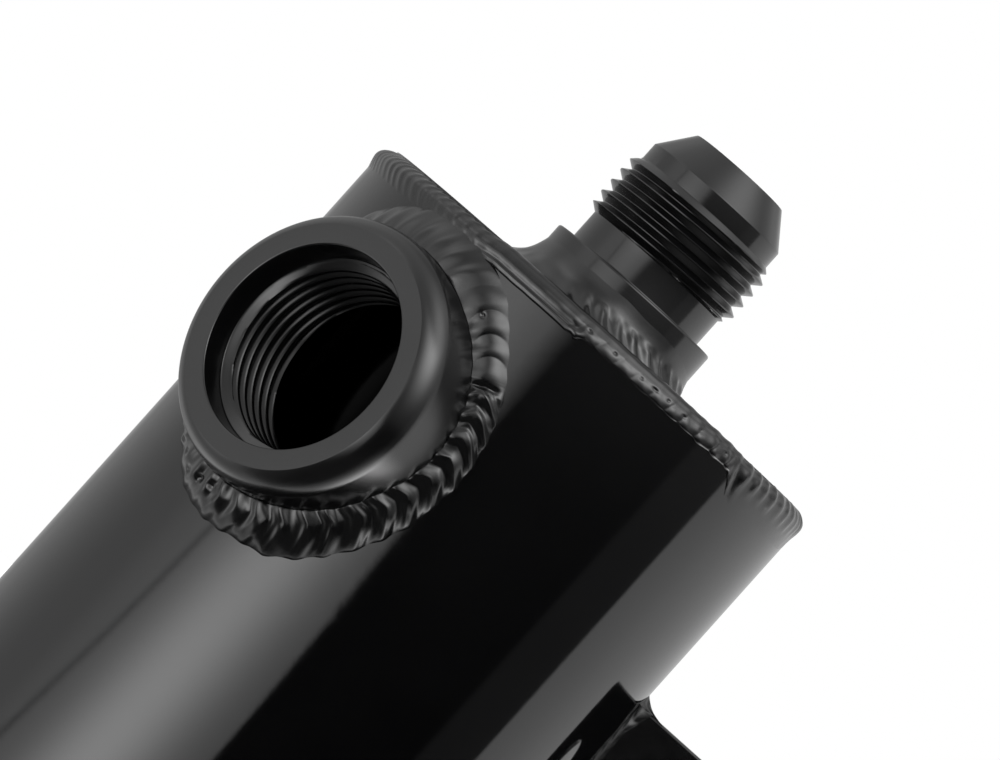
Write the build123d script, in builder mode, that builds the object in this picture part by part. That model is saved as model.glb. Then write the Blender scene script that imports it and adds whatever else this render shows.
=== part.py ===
from build123d import *
import math
import os

os.makedirs("parts", exist_ok=True)

# ---------------------------------------------------------------- dimensions
# All in millimetres. The can stands on its foot at Z = 0, its axis is Z,
# and the mounting tab points along +X.

# body
tube_r = 82.55 / 2          # 3.25 in tube
wall = 3.175                # 1/8 in wall
bore_r = tube_r - wall
body_h = 200.0              # foot to the top plate's outer face
plate_t = 4.0
tube_top = body_h - plate_t
plate_r = 39.5              # the plate sits on the tube's end, inside the seam
foot_chamfer = 0.6

# seam bead round the top plate
bead_out = 0.42             # how far it stands out past the tube
bead_low = 3.0              # its lower toe below the top face
bead_rise = 0.25            # its crown above the top face

# 37 degree flare fitting in the top plate, heights over the top face
fit_spigot_r = 12.3
fit_spigot_l = 7.0
fit_collar_r = 14.7
fit_collar_h = 8.1
fit_neck_r = 12.1
fit_thread_z0 = 13.3
fit_thread_r = 26.988 / 2   # 1 1/16 - 12 major diameter
fit_thread_z1 = 23.4
fit_nose_r = 12.15
fit_cone_z = 26.2
fit_tip_r = 8.3
fit_bore_r = 7.75
fit_tip_z = fit_cone_z + (fit_nose_r - fit_tip_r) / math.tan(math.radians(37.0))

# threaded side port
port_angle = -126.3         # direction from the can axis, degrees from +X
port_z = body_h - 29.7
port_face = 50.2            # face from the can axis
port_inner = 32.0           # inner end from the can axis
port_r = 21.35
port_round = 4.76           # radius of the shoulder, cut off by the flat face
port_lean = math.radians(27.0)                               # where the face cuts it
port_face_r = port_r - port_round * (1 - math.sin(port_lean))
port_drop = port_round * math.cos(port_lean)                 # depth of the shoulder
port_mouth_r = 15.55        # counterbore
port_mouth_d = 4.6
port_bore_r = 13.95         # thread's minor diameter, 1 3/16 - 12
port_hole_r = port_r + 0.03
port_weld = 4.0             # leg of the saddle bead

# slotted mounting tab
tab_t = 3.2
tab_w = 28.5                # out from the tube
tab_z0 = 35.3
tab_z1 = 163.3
tab_corner = 2.0
slot_w = 10.0
slot_l = 18.0
slot_x = tube_r + 14.6
slot_inset = 19.0           # slot centre from the tab's end
tab_leg = 1.4               # stitch bead leg
stitch = 26.0               # stitch bead length at the tab's ends

# recessed bottom with the drain
floor_z = 20.0              # underside of the bottom plate
floor_top = floor_z + plate_t
drain_r = 13.0
drain_z0 = 8.0
plug_r = 7.0                # M14 x 1.5
plug_bore_r = plug_r + 0.05
plug_af = 19.0
washer_t = 1.5
plug_head_h = 5.5
plug_len = 12.5

# inside
drop_r = 14.0
drop_wall = 1.6
drop_z0 = 70.0
baffle_t = 2.0
baffle_r = bore_r - 0.5
baffle_hole_r = 2.5
upper_baffle_z = 118.0
lower_baffle_z = 96.0
pad_r = 35.6

# plane through the can axis, facing out along the side port
port_dir = (math.cos(math.radians(port_angle)), math.sin(math.radians(port_angle)), 0)
port_plane = Plane(origin=(0, 0, port_z), x_dir=(-port_dir[1], port_dir[0], 0), z_dir=port_dir)
port_axis = Axis(origin=(0, 0, port_z), direction=port_dir)


def finish(piece, label):
    piece.part.label = label
    export_step(piece.part, "parts/" + label + ".step")


# ---------------------------------------------------------------- can tube
with BuildPart() as can_tube:
    with BuildSketch(Plane.XY):
        Circle(tube_r)
        Circle(bore_r, mode=Mode.SUBTRACT)
    extrude(amount=tube_top)
    foot_edges = can_tube.edges().filter_by(GeomType.CIRCLE).group_by(Axis.Z)[0]
    chamfer(foot_edges.sort_by(SortBy.RADIUS)[-1], length=foot_chamfer)
    with BuildSketch(port_plane):
        Circle(port_hole_r)
    extrude(amount=60, mode=Mode.SUBTRACT)
finish(can_tube, "can_tube")

# ---------------------------------------------------------------- top plate
with BuildPart() as top_plate:
    with BuildSketch(Plane.XY.offset(tube_top)):
        Circle(plate_r)
        Circle(fit_spigot_r + 0.03, mode=Mode.SUBTRACT)
    extrude(amount=plate_t)
finish(top_plate, "top_plate")

# bead that fills the corner between plate edge and tube end
with BuildPart() as top_seam_weld:
    with BuildSketch(Plane.XZ):
        with BuildLine():
            Polyline(
                (tube_r, body_h - bead_low),
                (tube_r, tube_top),
                (plate_r, tube_top),
                (plate_r, body_h),
                (plate_r - 0.9, body_h),
            )
            Spline(
                (plate_r - 0.9, body_h),
                (plate_r + 0.1, body_h + bead_rise),
                (tube_r - 0.55, body_h - 0.4),
                (tube_r + 0.15, body_h - 1.6),
                (tube_r + bead_out, body_h - 2.5),
                (tube_r, body_h - bead_low),
            )
        make_face()
    revolve(axis=Axis.Z)
finish(top_seam_weld, "top_seam_weld")

# ---------------------------------------------------------------- top fitting
with BuildPart() as top_fitting:
    with BuildSketch(Plane.XZ):
        with BuildLine():
            Polyline(
                (fit_bore_r, body_h - fit_spigot_l),
                (fit_spigot_r, body_h - fit_spigot_l),
                (fit_spigot_r, body_h),
                (fit_collar_r, body_h),
                (fit_collar_r, body_h + fit_collar_h - 0.4),
                (fit_collar_r - 0.4, body_h + fit_collar_h),
                (fit_neck_r, body_h + fit_collar_h),
                (fit_neck_r, body_h + fit_thread_z0 - 0.4),
                (fit_thread_r, body_h + fit_thread_z0 + 0.5),
                (fit_thread_r, body_h + fit_thread_z1 - 0.9),
                (fit_nose_r, body_h + fit_thread_z1 + 0.1),
                (fit_nose_r, body_h + fit_cone_z),
                (fit_tip_r, body_h + fit_tip_z),
                (fit_bore_r, body_h + fit_tip_z),
                close=True,
            )
        make_face()
    revolve(axis=Axis.Z)
finish(top_fitting, "top_fitting")

with BuildPart() as top_fitting_weld:
    with BuildSketch(Plane.XZ):
        with BuildLine():
            Polyline(
                (fit_collar_r, body_h),
                (fit_collar_r + 3.6, body_h),
                (fit_collar_r + 1.9, body_h + 1.3),
                (fit_collar_r + 0.8, body_h + 2.7),
                (fit_collar_r, body_h + 4.6),
                close=True,
            )
        make_face()
    revolve(axis=Axis.Z)
finish(top_fitting_weld, "top_fitting_weld")

# ---------------------------------------------------------------- side port
# turned profile: distance from the can axis along the port, then radius
port_section = Plane(origin=(0, 0, port_z), x_dir=port_dir, z_dir=(port_dir[1], -port_dir[0], 0))
with BuildPart() as side_port_bung:
    with BuildSketch(port_section):
        with BuildLine():
            Polyline(
                (port_face, port_face_r),
                (port_face, port_mouth_r),
                (port_face - port_mouth_d, port_mouth_r),
                (port_face - port_mouth_d, port_bore_r),
                (port_inner + 0.5, port_bore_r),
                (port_inner, port_bore_r + 0.5),
                (port_inner, port_r),
                (port_face - port_drop, port_r),
            )
            ThreePointArc(
                (port_face - port_drop, port_r),
                (port_face - port_drop + port_round * math.cos(1.02), port_r - port_round * (1 - math.sin(1.02))),
                (port_face, port_face_r),
            )
        make_face()
    revolve(axis=port_axis)
finish(side_port_bung, "side_port_bung")

# saddle bead: the corner between bung and tube, filled at 45 degrees
with BuildPart() as side_port_weld:
    with BuildSketch(Plane.XY.offset(port_z - 45)):
        Circle(tube_r)
    extrude(amount=90)
    with BuildSketch(port_plane):
        Circle(port_r)
    extrude(amount=port_face)
    saddle = [
        e
        for e in side_port_weld.edges()
        if e.geom_type not in (GeomType.CIRCLE, GeomType.LINE)
    ]
    chamfer(saddle, length=port_weld)
    with BuildSketch(Plane.XY.offset(port_z - 45)):
        Circle(tube_r)
    extrude(amount=90, mode=Mode.SUBTRACT)
    with BuildSketch(port_plane):
        Circle(port_r)
    extrude(amount=port_face + 5, mode=Mode.SUBTRACT)
    with BuildSketch(Plane.XY.offset(body_h - bead_low - 0.02)):
        Circle(tube_r + 10)
    extrude(amount=30, mode=Mode.SUBTRACT)
finish(side_port_weld, "side_port_weld")

# ---------------------------------------------------------------- mounting tab
with BuildPart() as mounting_tab:
    with BuildSketch(Plane.XZ):
        with BuildLine():
            Polyline(
                (tube_r - 2, tab_z0),
                (tube_r + tab_w, tab_z0),
                (tube_r + tab_w, tab_z1),
                (tube_r - 2, tab_z1),
                close=True,
            )
        make_face()
        with Locations((slot_x, tab_z0 + slot_inset), (slot_x, tab_z1 - slot_inset)):
            SlotOverall(slot_l, slot_w, rotation=90, mode=Mode.SUBTRACT)
    extrude(amount=tab_t / 2, both=True)
    fillet(mounting_tab.edges().filter_by(Axis.Y).group_by(Axis.X)[-1], radius=tab_corner)
    with BuildSketch(Plane.XY):
        Circle(tube_r)
    extrude(amount=body_h, mode=Mode.SUBTRACT)
    chamfer(mounting_tab.faces().sort_by(Axis.X)[-1].edges(), length=0.3)
finish(mounting_tab, "mounting_tab")

# stitch beads on the -Y side: one wraps each end of the tab, one sits at mid
# height. The tab's +Y side stays bare, so that it can lie flat on a bracket.
with BuildPart() as tab_welds:
    for z0, z1 in (
        (tab_z0, tab_z0 + stitch),
        ((tab_z0 + tab_z1) / 2 - 12, (tab_z0 + tab_z1) / 2 + 12),
        (tab_z1 - stitch, tab_z1),
    ):
        with BuildSketch(Plane.XY.offset(z0)):
            with BuildLine():
                Polyline(
                    (tube_r - 1.2, -tab_t / 2),
                    (tube_r + tab_leg, -tab_t / 2),
                    (tube_r - 1.2, -(tab_t / 2 + tab_leg + 0.8)),
                    close=True,
                )
            make_face()
        extrude(amount=z1 - z0)
    for tip, end in ((tab_z0, -1), (tab_z1, 1)):
        with BuildSketch(Plane.XZ.offset(-tab_t / 2)):
            with BuildLine():
                Polyline(
                    (tube_r - 1.2, tip),
                    (tube_r + 4.7, tip),
                    (tube_r + 1.5, tip + end * 0.9),
                    (tube_r, tip + end * 2.3),
                    (tube_r - 1.2, tip + end * 2.3),
                    close=True,
                )
            make_face()
        extrude(amount=tab_t + 2.2)
    with BuildSketch(Plane.XY):
        Circle(tube_r)
    extrude(amount=body_h, mode=Mode.SUBTRACT)
finish(tab_welds, "tab_welds")

# ---------------------------------------------------------------- bottom
with BuildPart() as bottom_plate:
    with BuildSketch(Plane.XY.offset(floor_z)):
        Circle(bore_r - 0.03)
        Circle(drain_r + 0.03, mode=Mode.SUBTRACT)
    extrude(amount=plate_t)
finish(bottom_plate, "bottom_plate")

with BuildPart() as bottom_seam_weld:
    with BuildSketch(Plane.XZ):
        with BuildLine():
            Polyline(
                (bore_r, floor_z),
                (bore_r - 3.2, floor_z),
                (bore_r - 2.1, floor_z - 2.1),
                (bore_r, floor_z - 3.2),
                close=True,
            )
        make_face()
    revolve(axis=Axis.Z)
finish(bottom_seam_weld, "bottom_seam_weld")

with BuildPart() as drain_bung:
    with BuildSketch(Plane.XY.offset(drain_z0)):
        Circle(drain_r)
        Circle(plug_bore_r, mode=Mode.SUBTRACT)
    extrude(amount=floor_top - drain_z0)
    low_edges = drain_bung.edges().filter_by(GeomType.CIRCLE).group_by(Axis.Z)[0]
    chamfer(low_edges.sort_by(SortBy.RADIUS)[-1], length=0.8)
finish(drain_bung, "drain_bung")

with BuildPart() as drain_bung_weld:
    with BuildSketch(Plane.XZ):
        with BuildLine():
            Polyline(
                (drain_r, floor_z),
                (drain_r + 3.2, floor_z),
                (drain_r + 2.1, floor_z - 2.1),
                (drain_r, floor_z - 3.2),
                close=True,
            )
        make_face()
    revolve(axis=Axis.Z)
finish(drain_bung_weld, "drain_bung_weld")

head_top = drain_z0 - washer_t
with BuildPart() as drain_plug:
    with BuildSketch(Plane.XY.offset(head_top - plug_head_h)):
        RegularPolygon(plug_af / 2, 6, major_radius=False)
    extrude(amount=plug_head_h)
    with BuildSketch(Plane.XY.offset(head_top)):
        Circle(plug_r)
    extrude(amount=plug_len)
    chamfer(drain_plug.edges().filter_by(GeomType.CIRCLE).sort_by(Axis.Z)[-1], length=1.0)
    # rounded-off hex corners, turned on the outer face of the head
    with BuildSketch(Plane.XZ):
        with BuildLine():
            Polyline(
                (plug_af / 2 - 0.1, head_top - plug_head_h),
                (plug_af / 2 + 3.0, head_top - plug_head_h),
                (plug_af / 2 + 3.0, head_top - plug_head_h + 1.7),
                close=True,
            )
        make_face()
    revolve(axis=Axis.Z, mode=Mode.SUBTRACT)
finish(drain_plug, "drain_plug")

with BuildPart() as drain_plug_washer:
    with BuildSketch(Plane.XY.offset(head_top)):
        Circle(11.0)
        Circle(plug_r + 0.25, mode=Mode.SUBTRACT)
    extrude(amount=washer_t)
finish(drain_plug_washer, "drain_plug_washer")

# ---------------------------------------------------------------- inside
with BuildPart() as inlet_drop_tube:
    with BuildSketch(Plane.XY.offset(drop_z0)):
        Circle(drop_r)
        Circle(drop_r - drop_wall, mode=Mode.SUBTRACT)
    extrude(amount=tube_top - drop_z0)
finish(inlet_drop_tube, "inlet_drop_tube")

with BuildPart() as drop_tube_weld:
    with BuildSketch(Plane.XZ):
        with BuildLine():
            Polyline(
                (drop_r, tube_top),
                (drop_r + 2.6, tube_top),
                (drop_r + 1.7, tube_top - 1.7),
                (drop_r, tube_top - 2.6),
                close=True,
            )
        make_face()
    revolve(axis=Axis.Z)
finish(drop_tube_weld, "drop_tube_weld")

with BuildPart() as upper_baffle:
    with BuildSketch(Plane.XY.offset(upper_baffle_z)):
        Circle(baffle_r)
        Circle(drop_r + 0.15, mode=Mode.SUBTRACT)
        for ring_r, count in ((19.0, 10), (25.5, 14), (32.0, 18)):
            with PolarLocations(ring_r, count):
                Circle(baffle_hole_r, mode=Mode.SUBTRACT)
    extrude(amount=baffle_t)
finish(upper_baffle, "upper_baffle")

with BuildPart() as lower_baffle:
    with BuildSketch(Plane.XY.offset(lower_baffle_z)):
        Circle(baffle_r)
        Circle(drop_r + 0.15, mode=Mode.SUBTRACT)
        for ring_r, count in ((19.0, 10), (25.5, 14), (32.0, 18)):
            with PolarLocations(ring_r, count):
                Circle(baffle_hole_r, mode=Mode.SUBTRACT)
    extrude(amount=baffle_t)
finish(lower_baffle, "lower_baffle")

with BuildPart() as mesh_pad:
    with BuildSketch(Plane.XY.offset(lower_baffle_z + baffle_t)):
        Circle(pad_r)
        Circle(drop_r + 0.3, mode=Mode.SUBTRACT)
    extrude(amount=upper_baffle_z - lower_baffle_z - baffle_t)
finish(mesh_pad, "mesh_pad")

# short fillets under each baffle, against the tube's wall
with BuildPart() as baffle_tacks:
    for under in (upper_baffle_z, lower_baffle_z):
        for turn in (45, 135, 225, 315):
            with BuildSketch(Plane.XZ.rotated((0, 0, turn - 5))):
                with BuildLine():
                    Polyline(
                        (bore_r, under),
                        (bore_r - 2.2, under),
                        (bore_r, under - 2.2),
                        close=True,
                    )
                make_face()
            revolve(axis=Axis.Z, revolution_arc=10)
finish(baffle_tacks, "baffle_tacks")
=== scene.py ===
import math

import bmesh
import bpy
import numpy as np
from mathutils import Matrix, Vector


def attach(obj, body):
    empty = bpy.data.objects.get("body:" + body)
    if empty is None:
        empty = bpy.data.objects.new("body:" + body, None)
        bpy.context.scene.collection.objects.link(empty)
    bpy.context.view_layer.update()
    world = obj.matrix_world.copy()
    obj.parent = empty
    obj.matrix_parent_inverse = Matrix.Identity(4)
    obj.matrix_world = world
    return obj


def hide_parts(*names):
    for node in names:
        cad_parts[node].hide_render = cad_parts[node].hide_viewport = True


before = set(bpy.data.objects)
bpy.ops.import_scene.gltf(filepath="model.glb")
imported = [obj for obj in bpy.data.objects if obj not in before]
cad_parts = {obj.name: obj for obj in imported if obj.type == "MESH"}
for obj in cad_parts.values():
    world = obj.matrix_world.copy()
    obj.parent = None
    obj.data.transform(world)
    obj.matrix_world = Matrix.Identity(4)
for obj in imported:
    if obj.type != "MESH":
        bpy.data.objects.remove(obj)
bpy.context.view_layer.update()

# ------------------------------------------------------------------ dimensions
# millimetres, the same as in the construction model
TUBE_R = 41.275
BORE_R = 38.1
BODY_H = 200.0
TUBE_TOP, SKIN_TOP = 196.0, 197.6
PLATE_R = 39.5

COLLAR_R, COLLAR_H = 14.7, 8.1
NECK_R = 12.1
FT_Z0, FT_Z1, FT_R, FT_MINOR = 13.3, 23.4, 13.494, 12.2
NOSE_R, CONE_Z, TIP_R, FIT_BORE = 12.15, 26.2, 8.3, 7.75
TIP_Z = CONE_Z + (NOSE_R - TIP_R) / math.tan(math.radians(37.0))
SPIGOT_R, SPIGOT_L = 12.3, 7.0
TPI12 = 25.4 / 12.0

PORT_A = math.radians(-126.3)
PORT_Z = 170.3
PORT_FACE, PORT_INNER, PORT_R = 50.2, 32.0, 21.35
MOUTH_R, MOUTH_D = 15.55, 4.6
PORT_MINOR, PORT_MAJOR = 13.95, 15.08
SHOULDER, LEAN = 4.76, math.radians(27.0)       # the shoulder's radius, and where the flat face cuts it

TAB_T, TAB_W, TAB_Z0, TAB_Z1 = 3.2, 28.5, 35.3, 163.3
SLOT_W, SLOT_L, SLOT_X, SLOT_INSET = 10.0, 18.0, TUBE_R + 14.6, 19.0

FLOOR_Z = 20.0
DRAIN_R = 13.0
PLUG_R, PLUG_AF = 7.0, 19.0

TAU = 2 * math.pi


# ------------------------------------------------------------------ mesh helpers
class Shell:
    """Grids of points, in millimetres, gathered into one mesh."""

    def __init__(self):
        self.points, self.faces, self.count = [], [], 0

    def grid(self, p, wrap_u=False, wrap_v=False):
        nu, nv, _ = p.shape
        start = self.count
        self.points.append(np.asarray(p, float).reshape(-1, 3))
        self.count += nu * nv
        i = np.arange(nu if wrap_u else nu - 1)
        j = np.arange(nv if wrap_v else nv - 1)
        a, b = np.meshgrid(i, j, indexing="ij")
        a2, b2 = (a + 1) % nu, (b + 1) % nv
        q = np.stack([a * nv + b, a2 * nv + b, a2 * nv + b2, a * nv + b2], -1)
        self.faces += (q.reshape(-1, 4) + start).tolist()
        return start

    def fan(self, ring, centre):
        """Closes a ring of points with triangles to a centre point."""
        n = len(ring)
        start = self.count
        self.points.append(np.vstack([np.asarray(ring, float), np.asarray(centre, float)[None]]))
        self.count += n + 1
        self.faces += [[start + k, start + (k + 1) % n, start + n] for k in range(n)]

    def make(self, name, body, node, material, sharp=34.0, weld=2e-6):
        me = bpy.data.meshes.new(name)
        me.from_pydata((np.concatenate(self.points) * 0.001).tolist(), [], self.faces)
        bm = bmesh.new()
        bm.from_mesh(me)
        bmesh.ops.remove_doubles(bm, verts=bm.verts, dist=weld)
        bmesh.ops.dissolve_degenerate(bm, dist=1e-7, edges=bm.edges)
        bmesh.ops.recalc_face_normals(bm, faces=bm.faces)
        for f in bm.faces:
            f.smooth = True
        bm.to_mesh(me)
        bm.free()
        me.set_sharp_from_angle(angle=math.radians(sharp))
        return place(me, name, body, node, material)


def place(me, name, body, node, material):
    ob = bpy.data.objects.new(name, me)
    bpy.context.scene.collection.objects.link(ob)
    me.materials.clear()
    me.materials.append(material)
    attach(ob, body)
    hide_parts(node)
    return ob


def rounded(points, steps=5):
    """A closed profile of (r, z, corner radius) as plain (r, z) points."""
    out = []
    n = len(points)
    for k, (x, y, f) in enumerate(points):
        p = np.array((x, y))
        if f <= 0:
            out.append(p)
            continue
        a = np.array(points[k - 1][:2]) - p
        b = np.array(points[(k + 1) % n][:2]) - p
        a, b = a / np.linalg.norm(a), b / np.linalg.norm(b)
        half = math.acos(np.clip(a @ b, -1, 1)) / 2
        mid = (a + b) / np.linalg.norm(a + b)
        centre = p + mid * f / math.sin(half)
        start, end = p + a * f / math.tan(half), p + b * f / math.tan(half)
        u, w = start - centre, end - centre
        turn = math.atan2(u[0] * w[1] - u[1] * w[0], u @ w)
        for t in np.linspace(0, 1, steps + 1):
            c, s = math.cos(turn * t), math.sin(turn * t)
            out.append(centre + np.array((c * u[0] - s * u[1], s * u[0] + c * u[1])))
    return out


def about_z(r, z, turn):
    return np.stack([r * np.cos(turn), r * np.sin(turn), z], -1)


PORT_DIR = np.array((math.cos(PORT_A), math.sin(PORT_A), 0.0))
PORT_SIDE = np.array((-math.sin(PORT_A), math.cos(PORT_A), 0.0))
UP = np.array((0.0, 0.0, 1.0))


def about_port(r, h, turn):
    """r from the port's axis, h along it from the can's axis, turn from the level side."""
    return (
        h[..., None] * PORT_DIR
        + (r * np.cos(turn))[..., None] * PORT_SIDE
        + (r * np.sin(turn))[..., None] * UP
        + np.array((0, 0, PORT_Z))
    )


def lathe(shell, rows, axis, n=224):
    """rows of (r, z), closed in both directions."""
    turn = np.linspace(0, TAU, n, endpoint=False)
    r = np.array([p[0] for p in rows])[:, None] * np.ones(n)
    z = np.array([p[1] for p in rows])[:, None] * np.ones(n)
    shell.grid(axis(r, z, np.broadcast_to(turn, r.shape)), wrap_u=True, wrap_v=True)


def threaded(shell, before, after, axis, z0, z1, pitch, radius_at, phases, n=224, hand=1):
    """A closed lathe whose rows between z0 and z1 follow a helix, so that each crest is a clean line.
    radius_at(phase, z) gives the radius, phase 0..1 across one turn of the thread."""
    turn = np.linspace(0, TAU, n + 1)
    lift = hand * pitch * turn / TAU
    low, high = min(z0, z1), max(z0, z1)
    rows_r, rows_z = [], []
    for r, z in before:
        rows_r.append(np.full(n + 1, r))
        rows_z.append(np.full(n + 1, z))
    turns = range(-2, int((high - low) / pitch) + 3)
    steps = [low + pitch * (k + p) for k in turns for p in phases]
    if z0 > z1:
        steps = steps[::-1]
    for h in steps:
        z = np.clip(h + lift, low, high)
        phase = ((z - lift - low) / pitch) % 1.0
        rows_r.append(radius_at(phase, z))
        rows_z.append(z)
    for r, z in after:
        rows_r.append(np.full(n + 1, r))
        rows_z.append(np.full(n + 1, z))
    r, z = np.array(rows_r), np.array(rows_z)
    shell.grid(axis(r, z, np.broadcast_to(turn, r.shape)), wrap_u=True)


# ------------------------------------------------------------------ weld beads
class Ripples:
    """Scales of uneven length along a bead, numbered so that each has its own height and lean."""

    def __init__(self, length, pitch_at, closed, seed, uneven=0.16):
        r = np.random.default_rng(seed)
        edges = [0.0]
        while edges[-1] < length:
            edges.append(edges[-1] + pitch_at(edges[-1]) * (1 + uneven * r.uniform(-1, 1)))
        edges = np.array(edges)
        self.edges = edges * (length / edges[-1])
        self.length, self.closed, self.n = length, closed, len(edges) - 1
        self.tall = 1 + 0.35 * r.uniform(-1, 1, self.n)
        self.lean = r.uniform(-1, 1, self.n)

    def at(self, s):
        s = np.mod(s, self.length) if self.closed else np.clip(s, 0, self.length - 1e-6)
        c = np.interp(s, self.edges, np.arange(self.n + 1))
        k = np.minimum(c.astype(int), self.n - 1)
        return k, c - k


def wobble(length, waves, seed, closed=True):
    """A smooth random curve along a bead, about -1..1."""
    r = np.random.default_rng(seed)
    parts = [(w, r.uniform(0, TAU), r.uniform(0.6, 1.0)) for w in waves]

    def f(s):
        total = 0.0
        for w, shift, a in parts:
            k = max(1, round(length / w)) if closed else length / w
            total = total + a * np.sin(TAU * k * s / length + shift)
        return total / len(parts) ** 0.75

    return f


def swell(p, lag=1.25):
    """One smooth swelling of a bead, its crest a little past the middle."""
    return 0.5 - 0.5 * np.cos(TAU * np.clip(p, 0, 1) ** lag)


def lump(p):
    """One rounded lump with a narrow valley each side."""
    return 1 - np.abs(2 * np.clip(p, 0, 1) - 1) ** 2.6


def bell(x, width):
    return np.exp(-((x / width) ** 2))


# ------------------------------------------------------------------ materials
def new_material(name):
    m = bpy.data.materials.new(name)
    m.use_nodes = True
    t = m.node_tree
    t.nodes.clear()
    out = t.nodes.new("ShaderNodeOutputMaterial")
    bsdf = t.nodes.new("ShaderNodeBsdfPrincipled")
    t.links.new(bsdf.outputs["BSDF"], out.inputs["Surface"])
    return m, t, bsdf


def node(t, kind, **values):
    n = t.nodes.new(kind)
    for k, v in values.items():
        if k in n.inputs:
            n.inputs[k].default_value = v
        else:
            setattr(n, k, v)
    return n


def noise(t, vector, scale, detail=2.0, rough=0.5):
    n = node(t, "ShaderNodeTexNoise", Scale=scale, Detail=detail, Roughness=rough)
    t.links.new(vector, n.inputs["Vector"])
    return n.outputs["Fac"]


def span(t, value, lo, hi, out_lo, out_hi):
    n = node(t, "ShaderNodeMapRange")
    n.inputs["From Min"].default_value = lo
    n.inputs["From Max"].default_value = hi
    n.inputs["To Min"].default_value = out_lo
    n.inputs["To Max"].default_value = out_hi
    t.links.new(value, n.inputs["Value"])
    return n.outputs["Result"]


def tint(t, value, dark, light):
    n = node(t, "ShaderNodeMix", data_type="RGBA")
    t.links.new(value, n.inputs["Factor"])
    n.inputs["A"].default_value = (*dark, 1)
    n.inputs["B"].default_value = (*light, 1)
    for s in n.inputs:
        if s.type == "RGBA":
            s.default_value = (*(dark if s.identifier.startswith("A") else light), 1)
    return [o for o in n.outputs if o.type == "RGBA"][0]


def bump(t, bsdf, height, distance, strength=1.0, under=None):
    n = node(t, "ShaderNodeBump", Strength=strength, Distance=distance)
    t.links.new(height, n.inputs["Height"])
    if under is not None:
        t.links.new(under, n.inputs["Normal"])
    t.links.new(n.outputs["Normal"], bsdf.inputs["Normal"])
    return n.outputs["Normal"]


def position(t):
    return node(t, "ShaderNodeTexCoord").outputs["Object"]


def black_gloss(name, dark, light, rough_lo, rough_hi, peel, peel_scale):
    """Gloss black coat: near-black with a faint cloud in it, a little orange peel and uneven gloss."""
    m, t, b = new_material(name)
    p = position(t)
    cloud = noise(t, p, 60.0, 4.0, 0.6)
    t.links.new(tint(t, span(t, cloud, 0.3, 0.7, 0, 1), dark, light), b.inputs["Base Color"])
    fine = noise(t, p, 420.0, 5.0, 0.65)
    t.links.new(span(t, fine, 0.3, 0.75, rough_lo, rough_hi), b.inputs["Roughness"])
    skin = noise(t, p, peel_scale, 2.0, 0.5)
    bump(t, b, skin, peel)
    b.inputs["IOR"].default_value = 1.5
    return m


mat_body = black_gloss("black_body_coat", (0.0010, 0.0010, 0.0011), (0.0016, 0.0016, 0.0017), 0.045, 0.080, 0.0000022, 520.0)
mat_weld = black_gloss("black_weld_coat", (0.0014, 0.0014, 0.0015), (0.0030, 0.0030, 0.0031), 0.15, 0.25, 0.000010, 900.0)
mat_tab = black_gloss("black_tab_coat", (0.0018, 0.0018, 0.0019), (0.0030, 0.0030, 0.0031), 0.10, 0.17, 0.000004, 700.0)


def black_turned(name, axis_xyz, origin, rough_lo, rough_hi):
    """Anodised turned part: fine tool rings round its axis."""
    m, t, b = new_material(name)
    p = position(t)
    rel = node(t, "ShaderNodeVectorMath", operation="SUBTRACT")
    t.links.new(p, rel.inputs[0])
    rel.inputs[1].default_value = origin
    dot = node(t, "ShaderNodeVectorMath", operation="DOT_PRODUCT")
    t.links.new(rel.outputs[0], dot.inputs[0])
    dot.inputs[1].default_value = axis_xyz
    along = dot.outputs["Value"]
    axial = node(t, "ShaderNodeVectorMath", operation="SCALE")
    axial.inputs[0].default_value = axis_xyz
    t.links.new(along, axial.inputs["Scale"])
    side = node(t, "ShaderNodeVectorMath", operation="SUBTRACT")
    t.links.new(rel.outputs[0], side.inputs[0])
    t.links.new(axial.outputs[0], side.inputs[1])
    out = node(t, "ShaderNodeVectorMath", operation="LENGTH")
    t.links.new(side.outputs[0], out.inputs[0])
    pair = node(t, "ShaderNodeCombineXYZ")
    t.links.new(along, pair.inputs[0])
    t.links.new(out.outputs["Value"], pair.inputs[1])
    rings = noise(t, pair.outputs[0], 5200.0, 3.0, 0.6)
    cloud = noise(t, p, 90.0, 4.0, 0.6)
    t.links.new(tint(t, span(t, cloud, 0.3, 0.7, 0, 1), (0.0016, 0.0016, 0.0017), (0.0030, 0.0030, 0.0031)), b.inputs["Base Color"])
    t.links.new(span(t, rings, 0.25, 0.75, rough_lo, rough_hi), b.inputs["Roughness"])
    bump(t, b, rings, 0.0000025)
    b.inputs["IOR"].default_value = 1.5
    return m


mat_fitting = black_turned("black_fitting_anodised", (0, 0, 1), (0, 0, 0), 0.09, 0.17)
mat_bung = black_turned("black_bung_anodised", tuple(PORT_DIR), (0, 0, PORT_Z * 0.001), 0.14, 0.24)
mat_drain = black_turned("black_drain_anodised", (0, 0, 1), (0, 0, 0), 0.14, 0.24)


def inner_coat():
    m, t, b = new_material("black_inner_coat")
    p = position(t)
    cloud = noise(t, p, 120.0, 5.0, 0.6)
    t.links.new(tint(t, span(t, cloud, 0.3, 0.7, 0, 1), (0.004, 0.004, 0.0042), (0.010, 0.010, 0.0102)), b.inputs["Base Color"])
    t.links.new(span(t, cloud, 0.3, 0.7, 0.42, 0.62), b.inputs["Roughness"])
    bump(t, b, noise(t, p, 1400.0, 3.0, 0.6), 0.00002)
    return m


mat_inner = inner_coat()


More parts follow.
